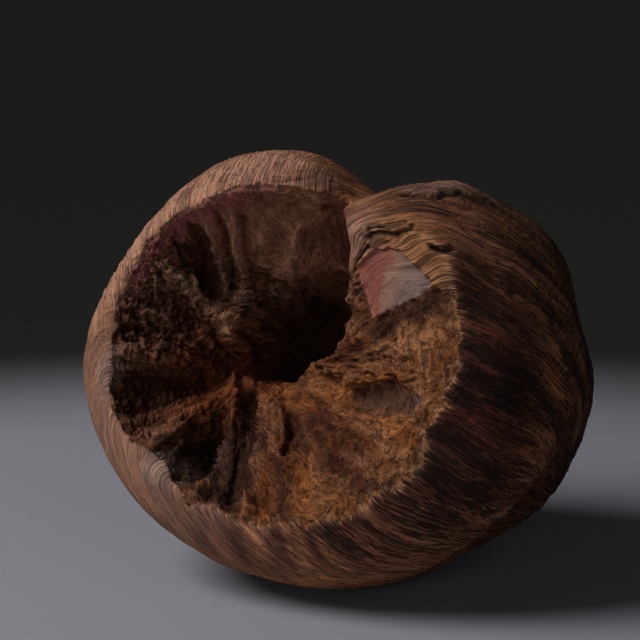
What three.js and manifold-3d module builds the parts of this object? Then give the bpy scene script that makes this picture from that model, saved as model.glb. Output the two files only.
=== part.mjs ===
// An oak burl: one solid lump of wound wood that grew round a hollow.
// Its face is a dished, torn fan of ridges round a deep pit. A cleft runs from the pit over the top,
// where the end of the left roll dives behind the nose of the right one. Its back is rounded and knobbly.
// Millimetres, +Z up. The lump stands on a small worn flat at z = 0, with the origin under the middle of
// its bounding box, and its face looks towards -Y.
import * as THREE from 'three';
import { mergeVertices } from 'three/addons/utils/BufferGeometryUtils.js';
import Module from 'manifold-3d';

const wasm = await Module();
wasm.setup();

// Driving dimensions. The face has axes of its own: p to the right across it, q up across it and
// h forward out of it, from the middle of the lump.
const HALF_WIDTH = 79; // along p
const HALF_HEIGHT = 68.5; // along q
const FRONT_DEPTH = 60; // along h, and the next one too
const BACK_DEPTH = 56;
const BOXINESS = 0.75; // 1 is an ellipsoid, and less is a squarer body
const FACE_YAW = 26; // degrees that the face is turned to the left of -Y
const FACE_PITCH = 11; // degrees that the face looks up
const FLAT_CUT = 1.8; // how much of the round underside the worn flat takes off
// The rim's middle, its half sizes and how far forward it stands
const RIM = { q: 1.5, width: 59, height: 48, level: 47 };
// The pit is a slanting oval. Its lip stands higher on the right, where the right roll's nose is.
const PIT = { p: -5, q: 9, length: 23, width: 13, tilt: 33, floor: -24, lip: 15, noseLip: 30 };
// The cleft's right wall is steep, and its left one is the left roll's long inner slope.
const CLEFT = { direction: 62, wall: 4, slope: 66, lipDrop: 24, dishDrop: 26, rimDrop: 30, crease: 11 };

// How finely the surface is divided
const COLUMNS = 104; // meridians round the face
const CROWDING = 0.3; // how much closer together they stand at the cleft
const ROWS = [2, 2, 3, 3, 6, 6, 4, 3, 4, 4, 4, 3]; // in each span between two stations of a meridian

// Where the rim swings out and in, by a column's angle
const RIM_WAVES = [
  { angle: -106, reach: 14, height: -5 },
  { angle: -82, reach: 11, height: -5 },
  { angle: -37, reach: 12, height: 4 },
  { angle: -12, reach: 14, height: -8 },
  { angle: 118, reach: 30, height: -3 },
];

// Soft lumps and hollows of the whole body: where, how far they reach and how high they stand
const LUMPS = [
  { at: [62, 42, -20], reach: 24, height: 1.5 }, // the right shoulder
  { at: [28, 63, -12], reach: 10, height: 2.5 }, // a knob behind the top
  { at: [60, -36, -36], reach: 18, height: 3 }, // the lobe low on the right
  { at: [50, -50, -8], reach: 12, height: -16 }, // the nick below that lobe
  { at: [66, -32, -8], reach: 18, height: -5 },
  { at: [74, 22, -20], reach: 14, height: -4 },
  { at: [26, 58, 20], reach: 13, height: -8 }, // where the right roll sinks towards the cleft
  { at: [19, 61, -12], reach: 16, height: -13 },
  { at: [50, 52, 2], reach: 12, height: -3 },
  { at: [-65, 34, 14], reach: 23, height: -13 },
  { at: [-34, 22, -56], reach: 26, height: 5 },
  { at: [30, -24, -58], reach: 24, height: 4 },
  { at: [26, 34, -54], reach: 20, height: 4 },
  { at: [-6, -6, -66], reach: 11, height: -6 }, // the scar where the limb was
];

// Furrows, and ridges as furrows with a depth below nothing, between two points (p, q) of the face
const FURROWS = [
  { from: [-31, -7], to: [-49, -15], width: 7, depth: 7 }, // the wide one on the left
  { from: [-26, -26], to: [-22, -36], width: 5, depth: 11 }, // the pocket
  { from: [-19, -14], to: [-9, -38], width: 4, depth: 5 },
  { from: [-30, 22], to: [-35, 36], width: 6, depth: 5 },
  { from: [25, -11], to: [42, -9], width: 4.5, depth: 3.5 }, // the smooth groove on the right
  { from: [-31, 1], to: [-49, -3], width: 4.5, depth: -3 },
  { from: [-29, -13], to: [-41, -34], width: 4, depth: -3.5 },
  { from: [-30, 12], to: [-39, 22], width: 5.5, depth: -3.5 },
  { from: [-11, -14], to: [2, -31], width: 4, depth: -3 },
  { from: [-26, 9], to: [-27, 5], width: 4, depth: -4 }, // the knob on the pit's left lip
];

// The polished facet on the right roll's nose: a swelling cut off by a sloping plane
const FACET = { p: 36, q: 24, level: 43, rise: 0.3, lift: 0.2, swelling: 2.5, reach: 12 };

const rad = THREE.MathUtils.degToRad;
const { lerp, smoothstep, clamp } = THREE.MathUtils;
const bell = (distance, reach) => Math.exp(-((distance / reach) ** 2));
const signedPower = (value, power) => Math.sign(value) * Math.abs(value) ** power;
const ORIGIN = new THREE.Vector2();
const flat = (direction, radius) => new THREE.Vector2(radius, 0).rotateAround(ORIGIN, rad(direction));
// The radius of an ellipse in one direction
const oval = (direction, a, b) => 1 / flat(direction, 1).divide(new THREE.Vector2(a, b)).length();

// A column's angle is measured from the cleft, from -180 to 180 degrees: below nothing is the right roll
// and above it the left one. Its direction on the face swings with the cleft, which is a bent line.
function directionOf(angle, cleft) {
  const swing = Math.cos(rad(angle / 2)) ** 2;
  return CLEFT.direction + angle + swing * (cleft - CLEFT.direction);
}

// 1 in the cleft, and nothing past its steep right wall and its long left slope
function inCleft(angle, slope) {
  if (angle < 0) return 1 - smoothstep(-angle, 0, CLEFT.wall);
  return 0.5 + 0.5 * Math.cos(Math.PI * Math.min(angle / slope, 1));
}

// The nose of the right roll rounds off towards the cleft
const offNose = (angle) => (angle < 0 ? 1 : 0) * bell(angle + CLEFT.wall, 9);
// The side of the face that the nose and the right roll take up
const onRight = (angle) => bell(angle + 60, 46);

function pitLip(angle) {
  const direction = directionOf(angle, 16);
  return flat(direction, oval(direction - PIT.tilt, PIT.length, PIT.width));
}

function rimPoint(angle) {
  const direction = directionOf(angle, 71);
  let radius = oval(direction, RIM.width, RIM.height);
  for (const { angle: middle, reach, height } of RIM_WAVES) radius += height * bell(angle - middle, reach);
  const point = flat(direction, radius);
  point.y += RIM.q;
  return point;
}

const rimLevel = (angle) => RIM.level - CLEFT.rimDrop * inCleft(angle, 50) - 6 * offNose(angle);

function inPit(angle, part, level) {
  const lip = pitLip(angle);
  return new THREE.Vector3(PIT.p + part * lip.x, PIT.q + part * lip.y, level);
}

function onDish(angle, part, level) {
  const lip = pitLip(angle);
  const rim = rimPoint(angle);
  return new THREE.Vector3(lerp(PIT.p + lip.x, rim.x, part), lerp(PIT.q + lip.y, rim.y, part), level);
}

// The outer body as a boxy ellipsoid, at a tilt from the face's axis
function onBody(angle, tilt, cleft) {
  const direction = directionOf(angle, cleft);
  const sunk = angle > 0 ? bell(angle, 18) : bell(angle, 12);
  const crease = CLEFT.crease * sunk * smoothstep(160 - tilt, 0, 70);
  const girth = oval(direction, HALF_WIDTH, HALF_HEIGHT) * signedPower(Math.sin(rad(tilt)), BOXINESS);
  const depth = tilt < 90 ? FRONT_DEPTH + rimLevel(angle) - RIM.level : BACK_DEPTH;
  const level = depth * signedPower(Math.cos(rad(tilt)), BOXINESS);
  const { x, y } = flat(direction, girth - crease);
  return new THREE.Vector3(x, y, level);
}

// From the floor of the pit up its wall, over the lip, out across the dish to the rim, and round to the back
function meridian(angle) {
  const drop = inCleft(angle, CLEFT.slope);
  const lip = lerp(PIT.lip, PIT.noseLip, onRight(angle)) - CLEFT.lipDrop * drop;
  const rim = rimLevel(angle);
  const nose = 3 * offNose(angle);
  const stations = [
    inPit(angle, 0, PIT.floor),
    inPit(angle, 0.58, PIT.floor + 3),
    inPit(angle, 0.87, lerp(PIT.floor, lip, 0.4)),
    inPit(angle, 1.12, lip),
    onDish(angle, 0.38, lerp(lip, rim, 0.37) - (CLEFT.dishDrop * 0.3) * drop - nose),
    onDish(angle, 0.8, lerp(lip, rim, 0.8) - (CLEFT.dishDrop * 0.4) * drop - nose),
    onDish(angle, 1, rim),
    onBody(angle, 58, 73),
    onBody(angle, 75, 76),
    onBody(angle, 94, 80),
    onBody(angle, 118, 85),
    onBody(angle, 146, 88),
    new THREE.Vector3(0, 0, -BACK_DEPTH),
  ];
  return new THREE.CatmullRomCurve3(stations, false, 'centripetal');
}

const LIP_STATION = 3;
const RIM_STATION = 6;
// Every row's place along a meridian, counted in stations
const PLACES = ROWS.flatMap((rows, span) => Array.from({ length: rows }, (_, i) => span + i / rows));
PLACES.push(ROWS.length);

// How deep the furrows are at a point of the face, tapering off at their ends
function furrowDepth({ x, y }) {
  let depth = 0;
  for (const { from, to, width, depth: full } of FURROWS) {
    const along = new THREE.Vector2(to[0] - from[0], to[1] - from[1]);
    const away = new THREE.Vector2(x - from[0], y - from[1]);
    const part = clamp(away.dot(along) / along.lengthSq(), 0, 1);
    depth += full * bell(away.addScaledVector(along, -part).length(), width);
  }
  return depth;
}

function cutFacet(point) {
  const across = point.x - FACET.p;
  const upward = point.y - FACET.q;
  const near = bell(Math.hypot(across, upward), FACET.reach);
  const plane = FACET.level + FACET.rise * across + FACET.lift * upward;
  const swollen = point.z + FACET.swelling * near;
  point.z = lerp(swollen, Math.min(swollen, plane), smoothstep(near, 0.3, 0.6));
}

// The lumps push the surface out from the middle
function pushLumps(point) {
  const outward = point.clone().normalize();
  let push = 0;
  for (const { at, reach, height } of LUMPS) {
    push += height * bell(point.distanceTo(new THREE.Vector3(...at)), reach);
  }
  point.addScaledVector(outward, push);
}

function surfacePoint(angle, station) {
  const point = meridian(angle).getPoint(station / ROWS.length);
  const onFace = smoothstep(station, 2, 3.2) * (1 - smoothstep(station, RIM_STATION - 1, RIM_STATION + 0.1));
  point.z -= onFace * furrowDepth(point);
  if (station > LIP_STATION && station < RIM_STATION + 1) cutFacet(point);
  pushLumps(point);
  return point;
}

// The face's axes as they stand in the room
function faceFrame() {
  const forward = new THREE.Vector3(
    -Math.sin(rad(FACE_YAW)) * Math.cos(rad(FACE_PITCH)),
    -Math.cos(rad(FACE_YAW)) * Math.cos(rad(FACE_PITCH)),
    Math.sin(rad(FACE_PITCH)),
  );
  const right = new THREE.Vector3(Math.cos(rad(FACE_YAW)), -Math.sin(rad(FACE_YAW)), 0);
  const up = forward.clone().cross(right);
  return new THREE.Matrix4().makeBasis(right, up, forward);
}

// A sphere's grid, each column laid along its meridian
function lumpGeometry() {
  const geometry = new THREE.SphereGeometry(1, COLUMNS, PLACES.length - 1);
  const { position, uv } = geometry.attributes;
  for (let i = 0; i < position.count; i++) {
    const row = Math.round((1 - uv.getY(i)) * (PLACES.length - 1));
    const onPole = row === 0 || row === PLACES.length - 1;
    const round = onPole ? 0 : (uv.getX(i) % 1) - 0.5;
    const angle = 360 * round - (180 / Math.PI) * CROWDING * Math.sin(2 * Math.PI * round);
    const point = surfacePoint(angle, PLACES[row]);
    position.setXYZ(i, point.x, point.y, point.z);
  }
  return geometry.applyMatrix4(faceFrame());
}

function solidOf(geometry) {
  geometry.deleteAttribute('normal');
  geometry.deleteAttribute('uv');
  const merged = mergeVertices(geometry, 1e-3);
  return new wasm.Manifold(
    new wasm.Mesh({
      numProp: 3,
      vertProperties: merged.attributes.position.array,
      triVerts: new Uint32Array(merged.index.array),
    }),
  );
}

function geometryOf(solid) {
  const { vertProperties, triVerts } = solid.getMesh();
  return new THREE.BufferGeometry()
    .setAttribute('position', new THREE.BufferAttribute(vertProperties, 3))
    .setIndex(new THREE.BufferAttribute(triVerts, 1));
}

// The round underside is cut level, and the lump set down on the flat with the origin under its middle
function setDown(geometry) {
  geometry.computeBoundingBox();
  const { min } = geometry.boundingBox;
  const side = 4 * HALF_WIDTH;
  const ground = new THREE.BoxGeometry(side, side, side);
  ground.translate(0, 0, min.z + FLAT_CUT - side / 2);
  const cut = geometryOf(solidOf(geometry).subtract(solidOf(ground)));
  cut.computeBoundingBox();
  const centre = cut.boundingBox.getCenter(new THREE.Vector3());
  cut.translate(-centre.x, -centre.y, -cut.boundingBox.min.z);
  cut.computeVertexNormals();
  return cut;
}

const burl = new THREE.Group();
const wood = new THREE.MeshStandardMaterial({ color: 0x8a5f42, roughness: 0.85, metalness: 0 });
const lump = new THREE.Mesh(setDown(lumpGeometry()), wood);
lump.name = 'oak_burl';
burl.add(lump);

export default burl;
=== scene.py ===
# %% [markdown]
# # An oak burl
# A burl is a lump of wound wood. This one grew round a hollow, in two rolls that curl in towards each
# other, so it has a dished, torn face with a deep pit, and a cleft over its top where one roll dives behind
# the other. It is one piece of wood, so it is one mesh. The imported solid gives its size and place, and this
# file gives it the fine relief and the colours. Everything is in metres, with -Y the side that the camera
# looks from.

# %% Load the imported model
import math

import bmesh
import bpy
import numpy as np
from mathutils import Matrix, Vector, noise


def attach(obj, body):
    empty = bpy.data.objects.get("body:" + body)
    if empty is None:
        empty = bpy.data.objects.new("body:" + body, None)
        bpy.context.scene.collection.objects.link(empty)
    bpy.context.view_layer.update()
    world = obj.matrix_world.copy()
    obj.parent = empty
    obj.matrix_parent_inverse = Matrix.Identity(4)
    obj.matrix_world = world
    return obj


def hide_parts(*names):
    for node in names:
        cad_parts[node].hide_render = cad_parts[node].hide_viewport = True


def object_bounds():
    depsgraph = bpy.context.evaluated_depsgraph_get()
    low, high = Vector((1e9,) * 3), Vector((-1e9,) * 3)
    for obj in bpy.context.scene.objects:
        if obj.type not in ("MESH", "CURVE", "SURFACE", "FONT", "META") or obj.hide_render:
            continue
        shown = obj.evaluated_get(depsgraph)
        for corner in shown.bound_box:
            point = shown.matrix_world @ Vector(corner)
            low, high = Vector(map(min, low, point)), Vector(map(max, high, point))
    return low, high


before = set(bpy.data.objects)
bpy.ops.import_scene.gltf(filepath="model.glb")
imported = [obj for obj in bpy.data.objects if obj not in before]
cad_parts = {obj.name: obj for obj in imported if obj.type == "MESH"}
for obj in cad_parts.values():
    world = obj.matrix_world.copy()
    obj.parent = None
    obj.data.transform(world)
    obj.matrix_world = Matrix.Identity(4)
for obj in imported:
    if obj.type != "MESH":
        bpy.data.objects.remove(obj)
cad_box = [list(corner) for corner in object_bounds()]
print("the packed burl, in millimetres:", [round(1000 * (high - low), 1) for low, high in zip(*cad_box)])

# %% [markdown]
# ## The camera
# It stands as far away as an 85 mm lens needs for the burl to fill the picture as it does in the
# photograph, and looks down on it by 9 degrees. The burl sits a little low and right in the picture.
# Turning the camera by the angle of that offset keeps the view of the burl itself unchanged, which shifting
# it sideways wouldn't.

# %% Camera
PICTURE = 640
LENS = 85
SENSOR = 36
DISTANCE = 0.475
ELEVATION = math.radians(9)
MIDDLE_PIXEL = (336.0, 364.5)  # where the middle of the burl is in the picture

burl_middle = Vector((0, 0, cad_box[1][2] / 2))
offset_right, offset_down = (
    math.atan((pixel - PICTURE / 2) * SENSOR / PICTURE / LENS) for pixel in MIDDLE_PIXEL
)
camera = bpy.data.objects.new("camera", bpy.data.cameras.new("camera"))
bpy.context.collection.objects.link(camera)
camera.data.lens = LENS
camera.data.sensor_width = SENSOR
camera.location = burl_middle + DISTANCE * Vector((0, -math.cos(ELEVATION), math.sin(ELEVATION)))
camera.rotation_euler = (math.pi / 2 - ELEVATION + offset_down, 0, offset_right)
bpy.context.scene.camera = camera
print("camera", [round(v, 3) for v in camera.location])

# %% [markdown]
# ## The shape of the lump
# The face has axes of its own: p to the right across it, q up across it, and h forward out of it. Every
# point of the lump has a column, an angle round the face that is counted from the cleft, and a place along
# that column's meridian. The meridian starts on the floor of the pit, climbs its wall, crosses the lip and
# the dish to the rim, and goes round the body to the back. It is a smooth curve through thirteen stations.
# These are the same stations, in millimetres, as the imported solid's, so the two shapes agree.

# %% Sizes of the lump
# Lengths are in millimetres. Directions, and angles round the face, are in degrees.
HALF_WIDTH, HALF_HEIGHT, FRONT_DEPTH, BACK_DEPTH = 79, 68.5, 60, 56
BOXINESS = 0.75  # 1 would be an ellipsoid, and less is boxier
FACE_YAW, FACE_PITCH = math.radians(26), math.radians(11)
FLAT_CUT = 1.8  # how much of the underside is pressed flat
RIM_Q, RIM_WIDTH, RIM_HEIGHT, RIM_LEVEL = 1.5, 59, 48, 47
PIT_P, PIT_Q, PIT_LENGTH, PIT_WIDTH, PIT_TILT = -5, 9, 23, 13, 33
PIT_FLOOR, PIT_LIP, NOSE_LIP = -24, 15, 30
CLEFT_DIRECTION, CLEFT_WALL, CLEFT_SLOPE = 62, 4, 66
CLEFT_AT_LIP, CLEFT_AT_RIM, CLEFT_SLOPE_AT_RIM = 16, 71, 50
NOSE_WIDTH, NOSE_DROP, NOSE_HOLLOW = 9, 6, 3
LIP_DROP, DISH_DROP, RIM_DROP = 24, 26, 30
CREASE, CREASE_LEFT, CREASE_RIGHT = 11, 18, 12
# Where the rim swings out and in: a column's angle, how far the wave reaches and how high it is
RIM_WAVES = [(-106, 14, -5), (-82, 11, -5), (-37, 12, 4), (-12, 14, -8), (118, 30, -3)]
# Soft lumps and hollows of the whole body: where, how far they reach and how high they stand
LUMPS = [
    ((62, 42, -20), 24, 1.5),
    ((28, 63, -12), 10, 2.5),
    ((60, -36, -36), 18, 3),
    ((50, -50, -8), 12, -16),
    ((66, -32, -8), 18, -5),
    ((74, 22, -20), 14, -4),
    ((26, 58, 20), 13, -8),
    ((19, 61, -12), 16, -13),
    ((50, 52, 2), 12, -3),
    ((-65, 34, 14), 23, -13),
    ((-34, 22, -56), 26, 5),
    ((30, -24, -58), 24, 4),
    ((26, 34, -54), 20, 4),
    ((-6, -6, -66), 11, -6),
]
print(len(RIM_WAVES), "waves of the rim and", len(LUMPS), "lumps of the body")

# %% [markdown]
# ## Soft steps and bumps
# Wound wood swells and sinks without hard edges, so its shape is put together from soft bumps and steps.
# `bell` is a bump, `ease` a step up, `plateau` a step up and one down again, and `oval` the radius of an
# ellipse in one direction. They work on whole arrays of points at once, which is why they use numpy.

# %% Soft steps and bumps
def bell(distance, reach):
    return np.exp(-((distance / reach) ** 2))


def ease(value, low, high):
    part = np.clip((value - low) / (high - low), 0, 1)
    return part * part * (3 - 2 * part)


def plateau(value, rise, full, fall, end):
    return ease(value, rise, full) * (1 - ease(value, fall, end))


def oval(direction, a, b):
    return 1 / np.hypot(np.cos(direction) / a, np.sin(direction) / b)


def mixed(low, high, part):
    return low + (high - low) * part


print("a bell at its reach:", bell(1, 1).round(2), "a step half way up:", ease(0.5, 0, 1))

# %% [markdown]
# ## The cleft, the pit's lip and the rim
# Going round the face, the cleft has a steep wall on its right, where the angles are below nothing, and a
# long slope on its left. The pit's lip is a tilted ellipse, and the rim a wider one that waves in and out.
# Each of them is a function of the column's angle, so every column can ask where its own lip and rim are.
# The cleft runs aslant from the lip to the rim, so `direction_of` turns the columns near it to where it is
# at that height.

# %% Cleft, lip and rim
def direction_of(angle, cleft):
    swing = np.cos(np.radians(angle / 2)) ** 2
    return np.radians(CLEFT_DIRECTION + angle + swing * (cleft - CLEFT_DIRECTION))


def in_cleft(angle, slope):
    right_wall = 1 - ease(-angle, 0, CLEFT_WALL)
    left_slope = 0.5 + 0.5 * np.cos(np.pi * np.clip(angle / slope, 0, 1))
    return np.where(angle < 0, right_wall, left_slope)


def off_nose(angle):
    return np.where(angle < 0, bell(angle + CLEFT_WALL, NOSE_WIDTH), 0)


def pit_lip(angle):
    direction = direction_of(angle, CLEFT_AT_LIP)
    radius = oval(direction - math.radians(PIT_TILT), PIT_LENGTH, PIT_WIDTH)
    return radius * np.cos(direction), radius * np.sin(direction)


def rim_point(angle):
    direction = direction_of(angle, CLEFT_AT_RIM)
    radius = oval(direction, RIM_WIDTH, RIM_HEIGHT)
    for middle, reach, height in RIM_WAVES:
        radius = radius + height * bell(angle - middle, reach)
    return radius * np.cos(direction), RIM_Q + radius * np.sin(direction)


def rim_level(angle):
    return RIM_LEVEL - RIM_DROP * in_cleft(angle, CLEFT_SLOPE_AT_RIM) - NOSE_DROP * off_nose(angle)


print("level of the rim at -90, 0, 30 and 90 degrees:", rim_level(np.array([-90, 0, 30, 90])).round(1))

# %% [markdown]
# ## Points in the pit, on the dish and on the body
# A point in the pit is a share of the way to the lip, and one on the dish a share of the way from the lip
# to the rim. A point of the body is told by its tilt, the angle away from the face's axis, on a boxy
# ellipsoid that the cleft's crease cuts into. Three small functions are easier to read than one long table
# of places.

# %% Points of a meridian
def in_pit(angle, part, level):
    p, q = pit_lip(angle)
    return np.stack([PIT_P + part * p, PIT_Q + part * q, level + 0 * angle], axis=1)


def on_dish(angle, part, level):
    lip_p, lip_q = pit_lip(angle)
    rim_p, rim_q = rim_point(angle)
    p = mixed(PIT_P + lip_p, rim_p, part)
    q = mixed(PIT_Q + lip_q, rim_q, part)
    return np.stack([p, q, level], axis=1)


def on_body(angle, tilt, cleft):
    direction = direction_of(angle, cleft)
    sunk = np.where(angle > 0, bell(angle, CREASE_LEFT), bell(angle, CREASE_RIGHT))
    crease = CREASE * sunk * ease(160 - tilt, 0, 70)
    across, forward = math.sin(math.radians(tilt)), math.cos(math.radians(tilt))
    radius = oval(direction, HALF_WIDTH, HALF_HEIGHT) * across**BOXINESS - crease
    depth = FRONT_DEPTH + rim_level(angle) - RIM_LEVEL if tilt < 90 else BACK_DEPTH + 0 * angle
    level = depth * math.copysign(abs(forward) ** BOXINESS, forward)
    return np.stack([radius * np.cos(direction), radius * np.sin(direction), level], axis=1)


print("the side of the body, in p, q and h:", on_body(np.array([-90.0]), 90, 80).round(1).tolist())

# %% [markdown]
# ## The thirteen stations
# Four stations are in the pit, three on the dish, five on the body and one at the middle of the back. They
# are closest where the surface turns quickest, at the pit's lip and the rim, because the curve between two
# stations can't turn more than once. The cleft lowers the lip and the dish, and the nose of the right roll
# hangs over it.

# %% Stations
def stations_of(angle):
    drop = in_cleft(angle, CLEFT_SLOPE)
    lip = mixed(PIT_LIP, NOSE_LIP, bell(angle + 60, 46)) - LIP_DROP * drop
    rim = rim_level(angle)
    nose = NOSE_HOLLOW * off_nose(angle)
    return [
        in_pit(angle, 0, PIT_FLOOR),
        in_pit(angle, 0.58, PIT_FLOOR + 3),
        in_pit(angle, 0.87, mixed(PIT_FLOOR, lip, 0.4)),
        in_pit(angle, 1.12, lip),
        on_dish(angle, 0.38, mixed(lip, rim, 0.37) - DISH_DROP * 0.3 * drop - nose),
        on_dish(angle, 0.8, mixed(lip, rim, 0.8) - DISH_DROP * 0.4 * drop - nose),
        on_dish(angle, 1, rim),
        on_body(angle, 58, 73),
        on_body(angle, 75, 76),
        on_body(angle, 94, 80),
        on_body(angle, 118, 85),
        on_body(angle, 146, 88),
        np.stack([0 * angle, 0 * angle, -BACK_DEPTH + 0 * angle], axis=1),
    ]


print(len(stations_of(np.array([0.0]))), "stations")

# %% [markdown]
# ## A curve through the stations
# A meridian of the real lump is a smooth line. A Catmull-Rom curve goes through each station and leaves it
# in the direction of its neighbours. The centripetal kind weighs them by the root of the distance between
# stations, so it doesn't loop or overshoot where two stations are close together, as they are at the lip.

# %% Curve
def through(stations, place):
    """The point at one place of every column's meridian, on a centripetal Catmull-Rom curve."""
    span = min(int(place), len(stations) - 2)
    part = place - span
    start, end = stations[span], stations[span + 1]
    before = stations[span - 1] if span else 2 * start - end
    after = stations[span + 2] if span + 2 < len(stations) else 2 * end - start
    gaps = []
    for one, other in ((before, start), (start, end), (end, after)):
        gap = np.sum((other - one) ** 2, axis=1, keepdims=True) ** 0.25
        gaps.append(np.where(gap < 1e-4, 1, gap))
    first, middle, last = gaps
    leave = (start - before) / first - (end - before) / (first + middle) + (end - start) / middle
    arrive = (end - start) / middle - (after - start) / (middle + last) + (after - end) / last
    leave, arrive = leave * middle, arrive * middle
    return (
        start
        + leave * part
        + (3 * (end - start) - 2 * leave - arrive) * part**2
        + (2 * (start - end) + leave + arrive) * part**3
    )


print("half way up the pit:", through(stations_of(np.array([90.0])), 1.5).round(1).tolist())

# %% [markdown]
# ## The sphere that becomes the lump
# The mesh starts as a UV sphere, whose two poles become the floor of the pit and the middle of the back. A
# grid of points is easy to work on with numpy, and a sphere closes it. `ROWS` shares out the rows between
# the stations, so that they crowd where the relief is finest, on the dish and at the rim. The columns crowd
# near the cleft.

# %% Sphere
COLUMNS = 480
CROWDING = 0.3
ROWS = [6, 8, 10, 12, 30, 34, 38, 12, 12, 12, 14, 14]

places = np.concatenate([span + np.arange(rows) / rows for span, rows in enumerate(ROWS)] + [[len(ROWS)]])
turn = np.arange(COLUMNS) / COLUMNS - 0.5
angles = 360 * turn - np.degrees(CROWDING) * np.sin(2 * np.pi * turn)
stations = stations_of(angles)
lump = np.stack([through(stations, place) for place in places])
print("rows, columns:", lump.shape[:2], "triangles:", 2 * COLUMNS * (len(places) - 2))

# %% [markdown]
# ## Furrows and ridges of the face
# The wood tore out of the hollow in a fan: ridges run out from a point at the pit's lower left lip, with
# furrows between them. Each one is a path over the face, in p and q, with a half width and a depth. A ridge
# is a furrow with a depth below nothing. They could be sculpted by hand, but paths in numbers can be the
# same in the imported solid.

# %% Large furrows
PACKED_FURROWS = [
    ([(-31, -7), (-49, -15)], 7, 7),
    ([(-26, -26), (-22, -36)], 5, 11),
    ([(-19, -14), (-9, -38)], 4, 5),
    ([(-30, 22), (-35, 36)], 6, 5),
    ([(25, -11), (42, -9)], 4.5, 3.5),
    ([(-31, 1), (-49, -3)], 4.5, -3),
    ([(-29, -13), (-41, -34)], 4, -3.5),
    ([(-30, 12), (-39, 22)], 5.5, -3.5),
    ([(-11, -14), (2, -31)], 4, -3),
    ([(-26, 9), (-27, 5)], 4, -4),
]


def distance_to(points, path):
    """How far each point (p, q) is from a path of straight pieces."""
    nearest = np.full(points.shape[:-1], np.inf)
    for start, end in zip(np.array(path[:-1], float), np.array(path[1:], float)):
        along = end - start
        part = np.clip(((points - start) @ along) / (along @ along), 0, 1)
        away = np.linalg.norm(points - start - part[..., None] * along, axis=-1)
        nearest = np.minimum(nearest, away)
    return nearest


print(len(PACKED_FURROWS), "large furrows and ridges")

# %% [markdown]
# ## Pressing the furrows in
# Every point now learns its own place and column angle, because most of what follows depends on them. A
# furrow lowers the points near its path, along h, by a bell of the distance. It fades out in the pit and
# just inside the rim, so the rim's outline stays as it is.

# %% Press the furrows in
RIM_STATION = 6
place_grid = np.repeat(places[:, None], COLUMNS, axis=1)
angle_grid = np.repeat(angles[None, :], len(places), axis=0)


def away_from(angle):
    """How many degrees round the face each point is from one column."""
    return np.abs((angle_grid - angle + 180) % 360 - 180)


on_face = plateau(place_grid, 2, 3.2, RIM_STATION - 1, RIM_STATION + 0.1)
for path, width, depth in PACKED_FURROWS:
    lump[..., 2] -= on_face * depth * bell(distance_to(lump[..., :2], path), width)
print("levels of the face from", lump[..., 2].min().round(1), "to", lump[..., 2].max().round(1), "mm")

# %% [markdown]
# ## The flat of the facet
# On the nose of the right roll the wood is worn or cut to a flat patch. The nose is first swollen a little,
# and then nothing of it may stand above a sloping plane, as if a file had gone over it.

# %% Flat of the facet
FACET_P, FACET_Q, FACET_LEVEL = 36, 24, 43
across, upward = lump[..., 0] - FACET_P, lump[..., 1] - FACET_Q
near_facet = bell(np.hypot(across, upward), 12) * ((place_grid > 3) & (place_grid < RIM_STATION + 1))
facet_plane = FACET_LEVEL + 0.3 * across + 0.2 * upward
swollen = lump[..., 2] + 2.5 * near_facet
lump[..., 2] = mixed(swollen, np.minimum(swollen, facet_plane), ease(near_facet, 0.3, 0.6))
print("points by the facet:", int((near_facet > 0.3).sum()))

# %% [markdown]
# ## Lumps of the body
# The burl has a knob behind the top, a lobe low on the right and broad swellings on the back. Each is a
# bell that pushes the surface away from the middle, or in towards it, which keeps the mesh smooth and
# closed.

# %% Lumps of the body
outward = lump / np.linalg.norm(lump, axis=2, keepdims=True)


def distance_from(middle):
    return np.linalg.norm(lump - np.array(middle), axis=2)


push = sum(height * bell(distance_from(middle), reach) for middle, reach, height in LUMPS)
lump = lump + outward * push[..., None]
print("pushed by", push.min().round(1), "to", push.max().round(1), "mm")

# %% [markdown]
# ## Noise
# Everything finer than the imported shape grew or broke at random, so it is drawn from smooth noise with
# fixed seeds. `noise_on` gives a value from -1 to 1 at every point of an array, with features about `size`
# wide, and `crests` folds it over so that it has sharp ridges, as torn fibres do.

# %% Noise
def noise_on(points, size, seed):
    shifted = (points / size + 19.7 * seed).reshape(-1, 3).tolist()
    return np.array([noise.noise(point) for point in shifted]).reshape(points.shape[:-1])


def crests(points, size, seed):
    """Noise with sharp crests, from -1 in the hollows to 1 on the crests."""
    return 1 - 2 * np.clip(2.2 * np.abs(noise_on(points, size, seed)), 0, 1)


print("noise at one point:", noise_on(np.array([[1.0, 2.0, 3.0]]), 5, 1).round(3))

# %% [markdown]
# ## The pit's lip, the nose's edge and the normals
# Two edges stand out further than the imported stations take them: the pit's lower left lip, where the fan
# starts, and the edge of the nose over the pit. They are drawn out here. After that the relief moves each
# point along the normal of the smooth lump, which is the cross product of the two directions of the grid.

# %% Lip, nose and normals
LIP_RISE, NOSE_REACH = 4.2, 3.0


def normals_of(grid):
    down = np.gradient(grid, axis=0)
    round_about = np.roll(grid, -1, axis=1) - np.roll(grid, 1, axis=1)
    normal = np.cross(down, round_about)
    length = np.linalg.norm(normal, axis=2, keepdims=True)
    normal = normal / np.maximum(length, 1e-9)
    normal[0], normal[-1] = (0, 0, 1), (0, 0, -1)
    return normal


lump[..., 1] += LIP_RISE * bell(angle_grid + 128, 24) * bell(place_grid - 2.9, 0.9)
lump[..., 0] -= NOSE_REACH * bell(angle_grid + 24, 15) * bell(place_grid - 4.1, 0.8)
outward_normal = normals_of(lump)
smooth_lump = lump.copy()
p, q = smooth_lump[..., 0], smooth_lump[..., 1]
print("normals", outward_normal[100, 100].round(2))

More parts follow.
